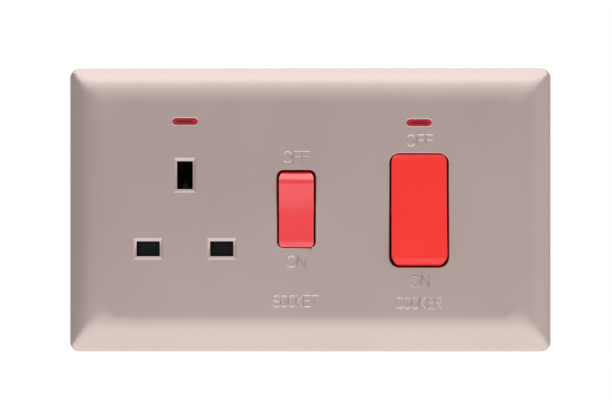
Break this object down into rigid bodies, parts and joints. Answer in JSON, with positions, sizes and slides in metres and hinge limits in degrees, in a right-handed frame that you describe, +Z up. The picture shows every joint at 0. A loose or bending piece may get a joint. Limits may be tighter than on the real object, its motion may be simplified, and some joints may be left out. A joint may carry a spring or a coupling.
{
  "type": "cooker control unit",
  "caption": "Flush twin wall plate with a switched three-pin socket, a large rocker switch for a cooker and red indicator lenses.",
  "frame": {"origin": "midway between the two fixing holes, in the plane of the wall", "axes": "+X right and +Z up seen from the front, -Y out of the wall towards the user"},
  "size_m": [0.146, 0.0398, 0.086],
  "materials": {
    "plate_finish": "satin champagne metal",
    "lens_red": "clear dark red",
    "frame_moulding": "matt black moulding",
    "shutter_moulding": "matt dark grey moulding",
    "base_moulding": "satin black moulding",
    "socket_rocker_red": "gloss coral red",
    "cooker_rocker_red": "gloss red",
    "lamp_glass": "clear tube",
    "resistor_body": "lacquer",
    "plated_steel": "zinc plated",
    "tinned_wire": "tinned",
    "brass": "bright"
  },
  "bodies": {
    "housing": {"mounting_frame": "frame_moulding", "shutter_deck": "frame_moulding", "shutter_spring": "plated_steel", "socket_base": "base_moulding", "cooker_base": "base_moulding", "socket_base_screws": "plated_steel", "cooker_base_screws": "plated_steel", "line_contact": "brass", "neutral_contact": "brass", "earth_contact": "brass", "earth_terminal": "brass", "earth_screw": "plated_steel", "line_link": "brass", "supply_line_terminal": "brass", "supply_neutral_terminal": "brass", "load_line_terminal": "brass", "load_neutral_terminal": "brass", "terminal_screws": "plated_steel", "supply_line_bracket": "brass", "supply_neutral_bracket": "brass", "load_line_contact": "brass", "load_neutral_contact": "brass", "socket_lamp": "lamp_glass", "socket_lamp_resistor": "resistor_body", "socket_lamp_leads": "tinned_wire", "cooker_lamp": "lamp_glass", "cooker_lamp_resistor": "resistor_body", "cooker_lamp_leads": "tinned_wire"},
    "cover": {"face_plate": "plate_finish", "socket_lens": "lens_red", "cooker_lens": "lens_red"},
    "shutter": {"shutter": "shutter_moulding"},
    "socket_rocker": {"socket_rocker": "socket_rocker_red", "socket_plunger_spring": "plated_steel"},
    "socket_plunger": {"socket_plunger": "plated_steel"},
    "socket_blade": {"socket_blade": "brass"},
    "cooker_rocker": {"cooker_rocker": "cooker_rocker_red", "line_plunger_spring": "plated_steel", "neutral_plunger_spring": "plated_steel"},
    "line_plunger": {"line_plunger": "plated_steel"},
    "neutral_plunger": {"neutral_plunger": "plated_steel"},
    "line_blade": {"line_blade": "brass"},
    "neutral_blade": {"neutral_blade": "brass"}
  },
  "joints": [
    {"name": "cover_pull", "type": "slide", "parent": "housing", "child": "cover", "axis": [0, -1, 0], "range_m": [0, 0.03]},
    {"name": "shutter_slide", "type": "slide", "parent": "housing", "child": "shutter", "axis": [0, 0, -1], "range_m": [0, 0.0056], "stiffness_N_per_m": 120, "springref_m": -0.003, "deforming": ["shutter_spring"]},
    {"name": "socket_rocker_tilt", "type": "hinge", "parent": "housing", "child": "socket_rocker", "pos_m": [-0.00425, -0.0045, 0.00025], "axis": [-1, 0, 0], "range_deg": [0, 13]},
    {"name": "socket_plunger_press", "type": "slide", "parent": "socket_rocker", "child": "socket_plunger", "axis": [0, -0.9936, -0.1132], "range_m": [0, 0.001], "stiffness_N_per_m": 1500, "springref_m": -0.001, "deforming": ["socket_plunger_spring"]},
    {"name": "socket_blade_tilt", "type": "hinge", "parent": "housing", "child": "socket_blade", "pos_m": [-0.00425, 0.0096, 0.00025], "axis": [1, 0, 0], "range_deg": [0, 20]},
    {"name": "cooker_rocker_tilt", "type": "hinge", "parent": "housing", "child": "cooker_rocker", "pos_m": [0.03275, -0.0045, -0.00005], "axis": [1, 0, 0], "range_deg": [0, 12]},
    {"name": "line_plunger_press", "type": "slide", "parent": "cooker_rocker", "child": "line_plunger", "axis": [0, -0.9945, 0.1045], "range_m": [0, 0.001], "stiffness_N_per_m": 2500, "springref_m": -0.001, "deforming": ["line_plunger_spring"]},
    {"name": "neutral_plunger_press", "type": "slide", "parent": "cooker_rocker", "child": "neutral_plunger", "axis": [0, -0.9945, 0.1045], "range_m": [0, 0.001], "stiffness_N_per_m": 2500, "springref_m": -0.001, "deforming": ["neutral_plunger_spring"]},
    {"name": "line_blade_tilt", "type": "hinge", "parent": "housing", "child": "line_blade", "pos_m": [0.02755, 0.01345, -0.00005], "axis": [-1, 0, 0], "range_deg": [0, 20]},
    {"name": "neutral_blade_tilt", "type": "hinge", "parent": "housing", "child": "neutral_blade", "pos_m": [0.03795, 0.01345, -0.00005], "axis": [-1, 0, 0], "range_deg": [0, 20]}
  ],
  "couplings": [
    {"joint": "socket_blade_tilt", "follows": "socket_rocker_tilt", "ratio": 1.5385},
    {"joint": "line_blade_tilt", "follows": "cooker_rocker_tilt", "ratio": 1.6667},
    {"joint": "neutral_blade_tilt", "follows": "cooker_rocker_tilt", "ratio": 1.6667}
  ]
}
